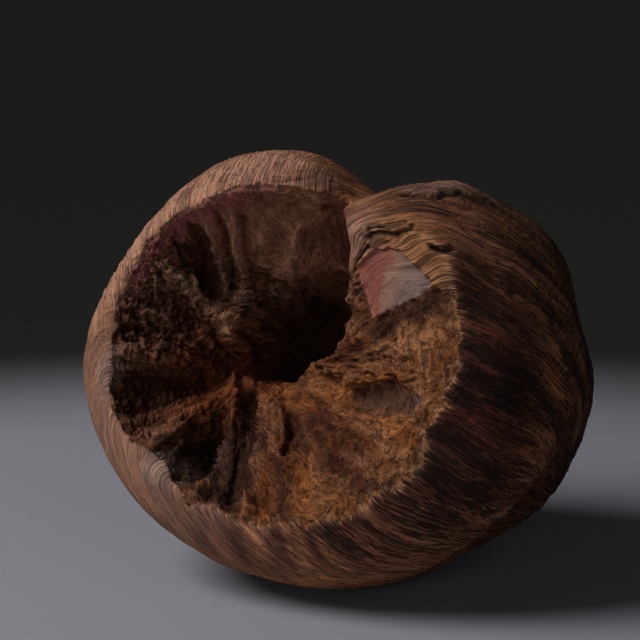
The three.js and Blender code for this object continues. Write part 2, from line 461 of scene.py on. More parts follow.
# %% [markdown]
# ## Grain of the torn face
# The torn fibres fan out from a point at the pit's lower left lip. Noise that is read on a cylinder, with
# the direction from that point round it and the distance along it, comes out as strands that widen
# outwards. Plain noise would have no direction, and an image of wood would show its flat grid on a lump
# like this.

# %% Fan
FAN_P, FAN_Q, FAN_GIRTH = -26, -8, 26
warp = 2.2 * noise_on(smooth_lump, 14, 1) + 0.8 * noise_on(smooth_lump, 4, 2)
fan_angle = np.arctan2(q - FAN_Q, p - FAN_P) + warp / FAN_GIRTH
fan_reach = np.hypot(p - FAN_P, q - FAN_Q)
fan = np.stack([FAN_GIRTH * np.cos(fan_angle), FAN_GIRTH * np.sin(fan_angle), fan_reach], axis=2)


def strands(length, width, seed):
    return crests(fan * (1, 1, 1 / length), width, seed)


print("the fan reaches", fan_reach.max().round(1), "mm")

# %% [markdown]
# ## Grain of the body
# The body's fibres leave the face at its upper left, run over the rolls, and close round a knot low on the
# right at the back. On a sphere that is drawn from the knot onto a plane, these lines are plain rays, so
# the ray's direction and the distance along it give every point its place in the grain, as for the fan.

# %% Body grain
GRAIN_SPREAD = 60  # how wide the noise of the grain is spread round the knot
SOURCE, KNOT = np.array([-0.45, 0.25, 0.86]), np.array([0.62, -0.46, -0.64])
KNOT = KNOT / np.linalg.norm(KNOT)
side = np.cross(KNOT, (0, 0, 1)) / np.linalg.norm(np.cross(KNOT, (0, 0, 1)))
over = np.cross(side, KNOT)


def on_plane(direction):
    unit = direction / np.linalg.norm(direction, axis=-1, keepdims=True)
    away = np.maximum(1 - unit @ KNOT, 1e-3)
    return (unit @ side + 1j * (unit @ over)) / away


ray = on_plane(smooth_lump / (HALF_WIDTH, HALF_HEIGHT, FRONT_DEPTH)) - on_plane(SOURCE)
body_turn = np.angle(ray) + 0.03 * noise_on(smooth_lump, 16, 3)
body_reach = GRAIN_SPREAD * np.log(np.maximum(np.abs(ray), 1e-3))
body_grain = np.stack(
    [GRAIN_SPREAD * np.cos(body_turn), GRAIN_SPREAD * np.sin(body_turn), body_reach], axis=2
)
print("grain reach", body_reach.min().round(), body_reach.max().round())

# %% [markdown]
# ## Where the torn face ends
# The skin of the body ends in a ragged edge at the rim. `EDGE_PLACES` gives the place of that edge along a
# meridian, by the column's angle, and noise of the width of a few fibres makes it ragged. The two lists are
# read off the outline of the face, since nothing simpler follows the way the skin broke.

# %% Edge of the torn face
EDGE_ANGLES = [
    -180, -177, -169, -159, -150, -130, -120, -108, -100, -91, -79, -66, -59, -49, -20, 0,
    20, 37, 48, 76, 85, 100, 110, 121, 130, 140, 153, 161, 168, 173, 180,
]
EDGE_PLACES = [
    6.05, 6.13, 5.85, 6.16, 6.12, 6.18, 6.25, 6.32, 6.35, 6.2, 6.15, 5.93, 5.97, 6.03, 5.9, 6.2,
    6.15, 6.12, 5.94, 5.89, 5.81, 5.72, 5.65, 5.62, 5.74, 5.92, 5.85, 5.35, 5.45, 5.76, 6.05,
]
RIM_GIRTH = 55  # about the rim's radius, so that noise round it is in millimetres
round_face = np.radians(angle_grid)
rim_round = np.stack([RIM_GIRTH * np.cos(round_face), RIM_GIRTH * np.sin(round_face), p * 0], axis=2)
ragged = 0.16 * noise_on(rim_round, 5, 4) + 0.09 * noise_on(rim_round, 1.6, 5)
ragged += 0.05 * noise_on(rim_round, 0.8, 6)
edge_place = np.interp(angle_grid, EDGE_ANGLES, EDGE_PLACES) + ragged
inside_edge = edge_place - place_grid  # above nothing on the torn face
print("the edge is at", edge_place.min().round(2), "to", edge_place.max().round(2), "along the meridians")

# %% [markdown]
# ## The skin over the nose
# On the nose of the right roll the skin comes down over the face as far as the facet. A line above the
# facet, with a little noise, tells where. `torn` is then 1 on the torn wood and 0 on the skin, and
# everything later asks it.

# %% Skin and torn wood
above_facet = q - 26.5 + 0.18 * (p - 20.5) + 1.6 * noise_on(smooth_lump, 2.2, 35)
nose_skin = ease(above_facet, -0.3, 0.3) * ease(-angle_grid, 3, 8) * (1 - ease(-angle_grid, 66, 72))
nose_skin *= place_grid > 3.2
torn = ease(inside_edge, -0.02, 0.03) * (1 - nose_skin)
right_side = bell(away_from(-95), 70)  # where the edge is crisp
left_skin = bell(away_from(150), 45) * (1 - torn)  # where the skin is smooth
print("torn share", torn.mean().round(2))

# %% [markdown]
# ## The facet
# The flat patch of cut or worn wood on the right roll's nose has six sides and fairly sharp corners. Its
# mask is a polygon: a point is inside by its distance to the nearest side. A little noise makes the sides
# ragged, and the torn wood stands a little proud of it all round.

# %% Facet corners
FACET_CORNERS = [(20.5, 26.5), (30, 32), (37, 32), (49, 22.5), (42, 19), (26, 12.8)]


def depth_inside(corners):
    """How far inside a convex polygon, given clockwise, each point (p, q) is."""
    depths = []
    for (p0, q0), (p1, q1) in zip(corners, corners[1:] + corners[:1]):
        length = math.hypot(p1 - p0, q1 - q0)
        depths.append(((p - p0) * (q1 - q0) - (q - q0) * (p1 - p0)) / length)
    return np.minimum.reduce(depths)


on_front = place_grid > 3.2
facet_depth = depth_inside(FACET_CORNERS)
facet_depth = facet_depth + 0.8 * noise_on(smooth_lump, 2.5, 7) + 0.5 * noise_on(smooth_lump, 0.9, 8)
facet = ease(facet_depth, -0.4, 0.3) * on_front * (place_grid < 7)
print("facet points", int(facet.sum()))

# %% [markdown]
# ## Named ridges and furrows
# The sharpest ridges and darkest furrows can be told apart one by one, so they are placed one by one too.
# Each has a path over the face, a half width and a height, and the cracks and beetle holes of the skin have
# the same.

# %% Ridges and furrows
RIDGES = [
    ([(-27, -9), (-23, -17), (-20, -25), (-21, -31), (-20.5, -36), (-19.5, -40), (-22, -44)], 0.8, 3.2),
    ([(-24, -8), (-19, -10), (-15, -16), (-12.5, -22.5), (-9, -30), (-5.5, -37.5), (-2, -46)], 0.8, 3.4),
    ([(-14, -12), (-7, -16), (-3, -20), (-1, -24), (1.5, -29)], 1.7, 2.2),
    ([(-6, -11), (2, -17), (5, -20), (9, -24), (15.5, -31), (18, -36)], 1.5, 2.0),
    ([(-27, -9), (-34, -6), (-40, -3), (-46, -2), (-52, -3)], 1.8, 2.4),
    ([(-26, -11), (-29, -16), (-32, -21), (-36, -27), (-43, -36)], 1.5, 2.8),
    ([(-20, -8), (-8, -7), (4, -6), (14, -7), (22, -5), (32, -4)], 1.4, 1.2),
    ([(16, -15), (27, -15), (38, -15), (48, -13)], 1.5, 1.5),
    ([(6, -10), (12, -14), (16, -18), (25, -24), (33, -30)], 1.2, 1.3),
    ([(-27, 8), (-30, 13), (-34, 18), (-39, 23)], 2.2, 1.5),
    ([(-26, -2), (-28, 4), (-26, 10)], 1.6, 2.4),
    ([(-24, 14), (-23, 24), (-22, 33), (-21, 40)], 1.0, 1.6),
    ([(-28, 15), (-29, 25), (-29, 37)], 1.2, 1.8),
    ([(-33, 20), (-36, 27), (-41, 33)], 1.4, 2.0),
    ([(-18, 14), (-16, 26), (-15, 36)], 0.9, 1.0),
    ([(-19.5, -15), (-17, -22), (-15, -30), (-12.5, -38), (-9, -45)], 3.0, -2.8),
    ([(-6, -12), (-3, -17), (0, -21), (2.5, -30)], 1.2, -2.4),
    ([(-26, 23), (-25, 31), (-24, 39)], 1.2, -2.6),
    ([(-31, 20), (-32, 29), (-33, 37)], 1.4, -3.2),
    ([(-21, 22), (-19, 32), (-18, 40)], 1.0, -2.0),
    ([(-30, 16), (-34, 23), (-38, 31)], 1.4, -3.0),
    ([(-46, -14), (-38, -10), (-31, -7)], 3.2, -2.2),
    ([(20, -10), (33, -9.5), (44, -10)], 2.6, -1.4),
]
CRACKS = [
    ([(28, 35), (32, 36), (37, 35), (41.5, 37.5)], 0.8, -1.5),
    ([(30, 38), (34, 37.8), (39, 39.5)], 0.6, -1.2),
    ([(19.5, 25.5), (22.5, 29), (27, 33)], 0.5, -1.6),
    ([(47.5, 32.8), (52.5, 32.2)], 0.75, -3.2),
    ([(34, 48.6), (39, 48.7), (43, 49.1), (45.5, 49.9), (47.5, 51.2)], 0.8, -1.6),
    ([(-21, 61.7), (-20.6, 61.5)], 0.5, -2.0),
]
print(len(RIDGES), "ridges and furrows,", len(CRACKS), "cracks and holes")

# %% [markdown]
# ## Laying the ridges on the face
# A ridge of torn wood has a sharp crest, so its profile is an exponential, which is pointed, where a bell
# would be round. The paths are read in coordinates that noise has bent, so no ridge is straight, and each
# one rises and sinks along its way.

# %% Lay the ridges
wavy = np.stack([p + 1.1 * noise_on(smooth_lump, 5, 9) + 0.4 * noise_on(smooth_lump, 1.5, 10),
                 q + 1.1 * noise_on(smooth_lump, 5, 11) + 0.4 * noise_on(smooth_lump, 1.5, 12)], axis=2)
named = np.zeros_like(p)
broken = 1 + 0.45 * noise_on(smooth_lump, 3.5, 17)
for path, width, height in RIDGES:
    named += height * broken * np.exp(-distance_to(wavy, path) / width)
cracks = np.zeros_like(p)
for path, width, height in CRACKS:
    cracks += height * bell(distance_to(wavy, path), width)
cracks *= on_front * (place_grid < 8)
print("named relief from", named.min().round(1), "to", named.max().round(1), "mm")

# %% [markdown]
# ## Zones of the face
# Each part of the face tore in its own way. Low on the right are small blocks in a golden fan, on the left
# a pitted crust, and the wall of the left roll inside the cleft is nearly smooth. Each zone is a mask from 0
# to 1, either a soft oval with an uneven border or a stretch of columns. The same masks then serve twice, for
# the relief and for the paint, so the two always agree.

# %% Zones
def zone(p0, q0, reach_p, reach_q, seed):
    """A soft oval area of the face with an uneven border, from 0 to 1."""
    away = np.hypot((p - p0) / reach_p, (q - q0) / reach_q) + 0.25 * noise_on(smooth_lump, 6, seed)
    return 1 - ease(away, 0.7, 1.15)


in_pit_zone = 1 - ease(place_grid, 2.4, 3.4)
left_wall = plateau(angle_grid, 24, 34, 62, 84) + plateau(angle_grid, -2, 2, 24, 34)
golden = plateau(-angle_grid, 20, 60, 148, 172)
pitted = zone(-47, 11, 12, 13, 13)
pocket = zone(-28, -33, 5, 7, 14)
worn_spot = zone(-33, -36, 7, 6, 15) + 0.8 * zone(-54, -8, 3.5, 8, 16)
calm = 1 - 0.8 * np.clip(left_wall, 0, 1)
print("golden share", golden.mean().round(2), "left wall", left_wall.mean().round(2))

# %% [markdown]
# ## Strands and crust of the torn wood
# Oak tears into strands along its grain, and where it broke across the grain it leaves a crust with pits.
# Noise along the fan gives strands that all run as the real ones do, wide ones first and then thinner ones.
# The crust and the pits are plain noise, and are left out of the golden fan, where the tear is cleaner.

# %% Strands and crust
fade_in = ease(fan_reach, 1, 12)
rough = 1 - np.clip(golden * 1.2, 0, 1)
relief = fade_in * (0.8 * strands(5, 5, 20) + 0.6 * strands(6, 2.2, 21)) + 0.55 * strands(5, 1.1, 22)
crust = crests(smooth_lump, 3.2, 24) + 0.8 * crests(smooth_lump, 1.5, 25)
relief += (0.5 * rough + 0.5 * pitted) * (0.9 * crust - 0.5)
pits = ease(noise_on(smooth_lump, 1.6, 18) + 0.5 * noise_on(smooth_lump, 0.8, 19), 0.25, 0.5)
relief -= (0.2 + 0.8 * rough) * pits
print("share of pits", pits.mean().round(2))

# %% [markdown]
# ## Blocks of the golden fan
# Low on the right the strands snapped off short, so they end in small blocks, a few times as long as they
# are wide. They are the same folded noise as the strands, with a much shorter length. Grit goes over
# everything, and the wall of the left roll is kept calm, since the wood parted there without tearing.

# %% Blocks and grit
blocks = 0.55 * crests(fan * (1, 1, 0.3), 2.2, 26) + crests(fan * (1, 1, 0.5), 1.2, 27)
relief += golden * 0.42 * blocks
relief += 0.5 * noise_on(smooth_lump, 0.8, 28) + 0.4 * noise_on(fan * (1, 1, 0.3), 0.75, 16)
relief = relief * calm + 0.5 * noise_on(smooth_lump, 6, 23)
print("torn relief from", relief.min().round(1), "to", relief.max().round(1), "mm")

# %% [markdown]
# ## The step on the wall, the named ridges and the groove
# The wall of the left roll has a step down its length, where the smooth wood ends and the dark wood of the
# cleft begins. It is a pointed ridge on a path, like the ridges that were placed one by one, which are
# added now. The low pocket is pressed in, and a wide groove on the right is smoothed, because the wood is
# worn there.

# %% Step, ridges and groove
WALL_STEP = [(1, 50), (-2, 43), (-6, 40), (-7.5, 34), (-8.5, 27)]
WIDE_GROOVE = [(24, -10), (33, -9.5), (42, -10)]
relief += 1.3 * np.exp(-distance_to(wavy, WALL_STEP) / 1.3)
relief += left_wall * 0.35 * crests(smooth_lump * (1, 0.35, 0.35), 1.8, 70)
relief += named * (0.35 + 0.65 * (1 - in_pit_zone))
relief += 1.5 * bell(np.hypot((p + 20.5) / 3.2, (q + 30) / 6), 1) - 2.5 * pocket
groove = bell(distance_to(wavy, WIDE_GROOVE), 3.2)
relief = mixed(relief, -1.2, 0.7 * groove)
print("with its ridges from", relief.min().round(1), "to", relief.max().round(1), "mm")

# %% [markdown]
# ## How deep the torn wood lies
# The skin is a layer of its own that stands proud of the torn wood by half a millimetre, and by more on the
# right, where its edge is crisp. The relief is held back at the rim, so that the edge stays readable, and
# in the pit, so that its walls don't run into each other.

# %% Depth of the face
depth_below_skin = 0.5 + 0.9 * right_side
on_dish_part = ease(place_grid, 2, 3)
near_rim = ease(inside_edge, 0, 0.5)
face_relief = on_dish_part * (relief * (0.35 + 0.65 * near_rim) - depth_below_skin)
face_relief = face_relief + (1 - on_dish_part) * 0.4 * relief
shallow, deep = depth_below_skin.min().round(2), depth_below_skin.max().round(2)
print("the torn wood lies", shallow, "to", deep, "mm below the skin")

# %% [markdown]
# ## Relief of the skin
# The outside of the burl is smoother: long, low swells along the grain, a fine rib here and there, and a
# lip where the skin curls up at its crisp edge. The knob behind the top is raised once more, with a dent in
# front of it.

# %% Relief of the skin
KNOB_AT, DENT_AT = (25, 63, -16), (22, 60, -2)
along_grain = body_grain * (1, 1, 1 / 9)
body_relief = 0.5 * noise_on(along_grain, 7, 30) + 0.35 * noise_on(along_grain, 2.6, 31)
body_relief += 0.2 * crests(along_grain, 1.3, 32) + 0.7 * noise_on(smooth_lump, 17, 33)
lip_of_skin = bell(inside_edge + 0.12, 0.2) * right_side
body_relief += 0.9 * lip_of_skin * (0.6 + noise_on(rim_round, 1.3, 34))
knob_away, dent_away = (np.linalg.norm(smooth_lump - np.array(at), axis=2) for at in (KNOB_AT, DENT_AT))
body_relief += 3.2 * bell(knob_away, 7.5) - 2.2 * bell(dent_away, 5)
body_relief *= 1 - 0.6 * left_skin
print("relief of the skin from", body_relief.min().round(1), "to", body_relief.max().round(1), "mm")

# %% [markdown]
# ## One relief for the whole lump
# The masks choose between the two reliefs, and the facet lies nearly flat a little below the skin. The
# result moves every point along its normal. Displacing the points, rather than faking it with a bump alone,
# gives real shadows in the furrows and a rough outline.

# %% Join the reliefs
FACET_DEPTH = 0.9
fine = mixed(body_relief, face_relief, torn)
fine = mixed(fine, -FACET_DEPTH + 0.05 * noise_on(smooth_lump, 3, 29), facet) + cracks
lump = smooth_lump + outward_normal * fine[..., None]
print("relief from", fine.min().round(1), "to", fine.max().round(1), "mm")

# %% [markdown]
# ## Colours of the wood
# Fresh breaks in the heartwood are golden, the weathered skin is dusty tan and maroon, and the pit where the
# cleft starts is painted nearly black, as painted shade. The colours change from place to place, so they are
# laid on as a colour at every point of the mesh, zone over zone, like glazes. An image would need an
# unwrapped mesh, and this one has enough points to do without.

# %% Colours
TAN, GOLD, ORANGE = (0.39, 0.168, 0.076), (0.40, 0.132, 0.034), (0.35, 0.08, 0.016)
BROWN, DARK_BROWN, BLACK = (0.22, 0.092, 0.05), (0.065, 0.024, 0.014), (0.010, 0.006, 0.005)
MAROON, PURPLE, PALE = (0.11, 0.026, 0.020), (0.22, 0.085, 0.09), (0.25, 0.155, 0.122)
RED_BROWN = (0.115, 0.036, 0.017)
paint = np.zeros(p.shape + (3,)) + BROWN


def lay(colour, amount):
    part = np.clip(amount, 0, 1)[..., None]
    paint[:] = paint * (1 - part) + np.array(colour) * part


print("a colour at each of", paint.shape[0] * paint.shape[1], "points")

# %% [markdown]
# ## The golden fan
# The lower right of the face is the cleanest tear, in amber with red-brown streaks. The brightest and the
# darkest rays are placed one by one on paths, like the ridges, because the eye finds them at once. Round the
# fan's source the wood is orange.

# %% Golden fan
AMBER = (0.30, 0.105, 0.038)
GOLDEN_RAYS = [
    [(-3, -35), (3, -49)], [(9, -32), (14, -40), (20, -47)], [(34, -14), (47, -20)], [(26, -40), (33, -39)],
    [(0, -13), (14, -9), (26, -6), (38, -3)], [(-10, -9), (-2, -12)],
]
BROWN_RAYS = [
    [(0, -30), (6, -40), (12, -49)], [(4, -18), (14, -24), (26, -30), (36, -36)],
    [(-1, -16), (4, -21), (9, -27)], [(8, -14), (16, -20), (26, -24)],
]
fan_streaks = noise_on(fan * (1, 1, 1 / 6), 3.2, 40)
soft_cloud = noise_on(smooth_lump, 9, 41)
lay(AMBER, golden * 0.95 + 0.25 * fan_streaks)
lay(RED_BROWN, golden * ease(fan_streaks + 0.5 * soft_cloud, -0.05, 0.35) * 0.8)
lay(TAN, golden * ease(fan_reach + 22 * fan_streaks, 46, 64) * 0.6)
for golden_ray in GOLDEN_RAYS:
    lay(GOLD, bell(distance_to(wavy, golden_ray), 2.6) * on_dish_part * (0.85 + 0.5 * fan_streaks))
for brown_ray in BROWN_RAYS:
    lay(RED_BROWN, bell(distance_to(wavy, brown_ray), 2.8) * on_dish_part * 0.85)
lay(ORANGE, (1 - ease(fan_reach, 6, 24)) * 0.7 + 0.2 * noise_on(smooth_lump, 4, 42))
print("colour of the face", paint.mean((0, 1)).round(3))

# %% [markdown]
# ## The crust, the wall and the pit
# Left of the fan the torn wood is dull and dirty. The wall of the left roll, inside the cleft, is tan with a
# brown shadow, dry pale ridges stand above it, and the pit, its pocket and the wide furrow are painted dark,
# as painted shade.

# %% Crust, wall and pit
DULL_BROWN, FURROW_PAINTED_SHADE, DRY_TAN = (0.14, 0.062, 0.042), (0.06, 0.026, 0.018), (0.27, 0.145, 0.09)
WALL_TAN, WALL_BROWN = (0.46, 0.21, 0.12), (0.16, 0.052, 0.034)
lay(DULL_BROWN, (1 - golden) * ease(soft_cloud + 0.8 * fan_streaks, 0.1, 0.7) * 0.6)
lay(DARK_BROWN, golden * ease(noise_on(smooth_lump, 4, 43) + 0.5 * fan_streaks, 0.35, 0.7) * 0.55)
lay(BROWN, pitted * 0.8)
wall_streaks = noise_on(np.stack([angle_grid, place_grid * 2, p * 0], axis=2), 3, 44)
lay(WALL_TAN, left_wall * ease(place_grid, 2.6, 3.6) * (0.8 + 0.5 * wall_streaks))
lay(WALL_BROWN, left_wall * ease(noise_on(smooth_lump, 8, 45) + 0.4 * wall_streaks, 0.2, 0.7) * 0.5)
# Painted shade in the pocket and along the wide furrow beside it, where shade falls.
lay(DARK_BROWN, pocket * 0.8 + zone(-12, -33, 4, 12, 47) * 0.6)
lay(FURROW_PAINTED_SHADE, zone(-20.5, -30, 4, 10, 71) * 0.8)
tan_ridge = bell(distance_to(wavy, [(-30, 12), (-39, 23)]), 2.4)
lay(TAN, zone(-26, 8, 3, 5, 48) * 0.8 + 0.8 * tan_ridge * on_dish_part)
dry_ridges = plateau(angle_grid, 44, 60, 96, 118) * on_dish_part
lay(DRY_TAN, dry_ridges * ease(named + 0.5 * relief, -0.4, 1.4) * 0.75)
# Painted shade: the pit is painted dark brown, fading out up its wall.
pit_painted_shade = 1 - ease(place_grid + 0.5 * left_wall, 1.9, 2.8)
lay(DARK_BROWN, pit_painted_shade * 0.9)
step_p, step_q = zip(*reversed(WALL_STEP))
wall_right = ease(p - np.interp(q, step_q, step_p), -0.4, 0.8) * left_wall
lay(BROWN, wall_right * 0.55)
print("colour of the face", paint.mean((0, 1)).round(3))

# %% [markdown]
# ## Painted light on the crests and painted shade in the hollows
# The crests are painted lighter and the hollows darker, as painted light and shade. The relief itself tells
# which is which, so the paint is multiplied by it, and a little more in green and blue, which makes the
# hollows warmer. Pits are painted black and the deepest furrows are darkened along their paths, as painted
# shade.

# %% Crests and hollows
GROOVE_BROWN, GREY = (0.13, 0.065, 0.04), (0.16, 0.12, 0.13)
RIGHT_FURROW = [(27, 10), (40, 15), (52, 20)]
WIDE_FURROW = [(-20, -15), (-15.5, -30), (-10, -45)]
# Painted shade in the hollows and painted light on the crests, from the height of the relief.
hollow = face_relief + depth_below_skin * on_dish_part - 0.4
shade = 1 + 0.34 * np.clip(hollow, -1.9, 1.5) * (1 - facet)
paint *= shade[..., None] ** (1, 1.25, 1.5)
# Painted shade: the pits are painted black.
lay(BLACK, pits * (0.5 - 0.15 * golden) * calm * on_dish_part * (1 - facet))
# Painted light: the highest crests of the golden fan are painted tan.
lay(TAN, golden * ease(hollow, 0.7, 1.8) * 0.35)
# Painted shade along the two deepest furrows.
lay(DARK_BROWN, bell(distance_to(wavy, RIGHT_FURROW), 3.4) * 0.85 * on_dish_part * (1 - facet))
lay(DARK_BROWN, bell(distance_to(wavy, WIDE_FURROW), 3.8) * 0.9 * on_dish_part)
lay(GROOVE_BROWN, groove * 0.85)
lay(GREY, bell(np.hypot(p - 43.6, q + 10.2), 1.8) * on_dish_part)
face_paint = paint
print("colour of the face", face_paint.mean((0, 1)).round(3))

# %% [markdown]
# ## Streaks of the skin
# The skin starts again from plain tan. Its long streaks are noise that is stretched along the body's grain,
# in three widths, and they are mixed in different shares wherever the skin is dark or light.

# %% Streaks of the skin
LIGHT_BROWN = (0.29, 0.125, 0.055)
long_streaks = noise_on(body_grain * (1, 1, 1 / 14), 9, 60)
mid_streaks = noise_on(body_grain * (1, 1, 1 / 12), 4, 61)
thin_streaks = noise_on(body_grain * (1, 1, 1 / 12), 1.4, 62)
streaks = 0.7 * long_streaks + 0.6 * mid_streaks + 0.7 * thin_streaks
behind_rim = place_grid - edge_place
paint = np.zeros(p.shape + (3,)) + TAN
lay(LIGHT_BROWN, 0.5 + 0.6 * soft_cloud)
print("streaks from", streaks.min().round(2), "to", streaks.max().round(2))

# %% [markdown]
# ## The right roll
# The skin of the right roll is the darkest: maroon and black streaks over orange-brown, with a dark band
# just behind the torn edge. `band` is that strip, and it is widest half way down the side.

# %% Right roll
ROLL_ORANGE, DARK_MAROON, NEAR_BLACK = (0.36, 0.125, 0.045), (0.075, 0.019, 0.014), (0.016, 0.007, 0.006)
right_roll = bell(away_from(-78), 58) * ease(behind_rim, -0.1, 0.3)
lay(MAROON, ease(streaks + 0.25 * right_roll, 0.15, 0.6) * (0.25 + 0.65 * right_roll))
lay(ROLL_ORANGE, right_roll * ease(mid_streaks - 0.4 * long_streaks, -0.05, 0.3) * 0.8)
band = bell(away_from(-76), 40) * (1 - ease(behind_rim + 0.45 * streaks, 1.1, 2.0))
band *= ease(behind_rim, 0, 0.08)
lay(DARK_MAROON, 0.97 * band)
lay(NEAR_BLACK, band * ease(streaks + 0.3 * mid_streaks, -0.35, 0.3) * 0.92)
lay(BLACK, ease(streaks, 0.5, 0.8) * (0.25 + 0.6 * right_roll) * 0.85)
hair_lines = crests(body_grain * (1, 1, 1 / 14), 2.6, 67) + 0.5 * long_streaks
lay(BLACK, right_roll * ease(hair_lines, 0.72, 0.92) * 0.8)
lay(DARK_BROWN, ease(thin_streaks + 0.6 * mid_streaks, 0.15, 0.5) * (0.2 + 0.6 * right_roll))
print("colour of the skin", paint.mean((0, 1)).round(3))

# %% [markdown]
# ## The flank, the top of the roll and the lobe
# Behind the band the flank is brown with dark streaks, and so is the top of the right roll. The lobe low on
# the right is painted darker all over, as painted shade.

# %% Flank, top and lobe
ROLL_BROWN, LOBE_SHADE_AT, LOBE_SHADE_REACH = (0.15, 0.058, 0.03), (60, -38, -30), 26
flank = bell(angle_grid + 70, 40) * ease(behind_rim, 1.0, 2.2)
lay(DARK_BROWN, flank * ease(streaks, -0.4, 0.3) * 0.8)
roll_top = bell(angle_grid + 25, 19) * ease(behind_rim, 0.15, 0.7)
lay(ROLL_BROWN, roll_top * (0.85 + 0.4 * mid_streaks))
lay(BLACK, roll_top * ease(thin_streaks + 0.5 * mid_streaks, 0.0, 0.3) * 0.7)
# Painted shade: the lobe low on the right is darkened all over.
lay(DARK_BROWN, 0.75 * bell(np.linalg.norm(smooth_lump - np.array(LOBE_SHADE_AT), axis=2), LOBE_SHADE_REACH))
print("colour of the skin", paint.mean((0, 1)).round(3))

# %% [markdown]
# ## Under the rim
# Along the bottom the skin is warm tan with wine-red blotches that hang from the torn edge. Blotches aren't
# drawn out along the grain, so they are made from noise that goes round the rim.

# %% Under the rim
RIM_TAN, WINE = (0.46, 0.185, 0.08), (0.085, 0.022, 0.017)
low_rim = (bell(away_from(-140), 26) + bell(away_from(170), 22)) * bell(behind_rim - 0.25, 0.4)
lay(MAROON, low_rim * ease(streaks + 0.5 * soft_cloud, -0.3, 0.3) * 0.85)
lay(RIM_TAN, bell(away_from(-150), 36) * ease(behind_rim, 0, 0.3) * 0.7)
blotches = noise_on(rim_round + 4 * outward_normal, 5.5, 72)
blotches = blotches + 0.6 * noise_on(rim_round, 2.2, 73) + 0.4 * thin_streaks
under_rim = bell(away_from(-145), 42) * ease(behind_rim, 0, 0.1)
under_rim *= 1 - ease(behind_rim - 0.6 * blotches, 0.4, 1.2)
lay(WINE, under_rim * ease(blotches, -0.25, 0.15) * 0.9)
lay(MAROON, ease(mid_streaks + 0.8 * soft_cloud, 0.2, 0.6) * bell(np.abs(angle_grid) - 165, 50) * 0.5)
print("colour of the skin", paint.mean((0, 1)).round(3))

# %% [markdown]
# ## The left side and the top
# The left side and the roll over the top are weathered to a dusty tan, with brown clouds on top and a
# breath of purple in the streaks. The rim of the left side is the palest part of the skin.

# %% Left side and top
DUSTY_TAN, PALE_TAN, CLOUD_BROWN = (0.30, 0.158, 0.108), (0.39, 0.205, 0.142), (0.20, 0.085, 0.05)
left_outside = bell(away_from(150), 55)
lay(DUSTY_TAN, left_outside * 0.7)
lay(PALE, left_outside * (1 - ease(behind_rim, 0.4, 1.6)) * (0.35 + 0.4 * streaks))
top_roll = plateau(angle_grid, 8, 30, 80, 120)
lay(PALE_TAN, top_roll * 0.8)
lay(CLOUD_BROWN, top_roll * ease(soft_cloud + 0.6 * noise_on(smooth_lump, 2.5, 65), 0.2, 0.6) * 0.6)
lay(PURPLE, left_outside * ease(streaks + 0.2 * soft_cloud, 0.15, 0.6) * 0.5)
print("colour of the skin", paint.mean((0, 1)).round(3))

# %% [markdown]
# ## By the cleft and behind the groove
# Where the right roll dives into the cleft its skin is reddish, with a smoky patch on the edge above. On
# top, a line of wood behind the long crack is paler than what lies in front of it.

# %% By the cleft
CLEFT_BROWN, SMOKE, KNOB_TAN = (0.17, 0.06, 0.035), (0.13, 0.08, 0.07), (0.29, 0.155, 0.115)
by_cleft = bell(angle_grid - 12, 8) * ease(place_grid, 5.5, 6.3)
lay(CLEFT_BROWN, by_cleft * (0.85 + 0.6 * thin_streaks))
smoky = bell(np.hypot(p + 1, (q - 55) / 1.3), 5) * on_front
lay(SMOKE, smoky * ease(thin_streaks, -0.3, 0.3) * 0.6)
behind_groove = q - np.interp(p, [34, 39, 43, 45.5, 47.5], [49.2, 49.3, 49.7, 50.5, 51.8])
lay(KNOB_TAN, ease(behind_groove, 0, 0.6) * bell(p - 41, 9) * on_front * (place_grid < 9) * 0.85)
body_paint = paint
print("colour of the skin", body_paint.mean((0, 1)).round(3))

# %% [markdown]
# ## The purple band
# The two coats of paint meet at the torn edge. Over the top of the dish, a band of smooth wood shows just
# inside the edge, tan at first and then purple. Its width changes along the edge, so it is read from a
# short list.

# %% Join the paints, and the purple band
BAND_TAN, BAND_PURPLE = (0.42, 0.19, 0.13), (0.36, 0.115, 0.105)
paint = mixed(body_paint, face_paint, torn[..., None])
band_width = np.interp(angle_grid, [22, 35, 48, 62, 85, 105], [0.25, 0.5, 0.85, 0.6, 0.5, 0.3])
purple_band = plateau(angle_grid, 20, 34, 92, 110) * ease(inside_edge, -0.12, 0.04)
purple_band *= 1 - ease(inside_edge / band_width + 0.35 * noise_on(smooth_lump, 4, 63), 0.75, 1.25)
lay(BAND_TAN, purple_band)
lay(BAND_PURPLE, purple_band * ease(inside_edge / band_width + 0.3 * soft_cloud, 0.1, 0.45))
print("share of the band", purple_band.mean().round(4))

# %% [markdown]
# ## The facet, the worn spots and the pale fibres
# The facet is pink at its left and greyish at its right, with a tan strip between. Two worn spots on the
# left of the face are pale, and so are the dry fibres that stick out along the crisp edge on the right.

# %% Facet, worn spots and fibres
PINK, PALE_PINK, FACET_TAN = (0.235, 0.078, 0.060), (0.155, 0.104, 0.088), (0.235, 0.125, 0.085)
FIBRE_TAN = (0.44, 0.235, 0.13)
over_facet = p - 0.35 * q + 3 * noise_on(smooth_lump, 5, 50)
lay(PINK, facet)
lay(FACET_TAN, facet * ease(over_facet, 22, 25))
lay(PALE_PINK, facet * ease(over_facet, 25, 33))
lay(PALE, worn_spot * 0.85)
pale_fibres = bell(inside_edge - 0.06, 0.12) * right_side * ease(noise_on(rim_round, 1.8, 64), -0.3, 0.3)
lay(FIBRE_TAN, 0.7 * pale_fibres)
print("colour of the lump", paint.mean((0, 1)).round(3))
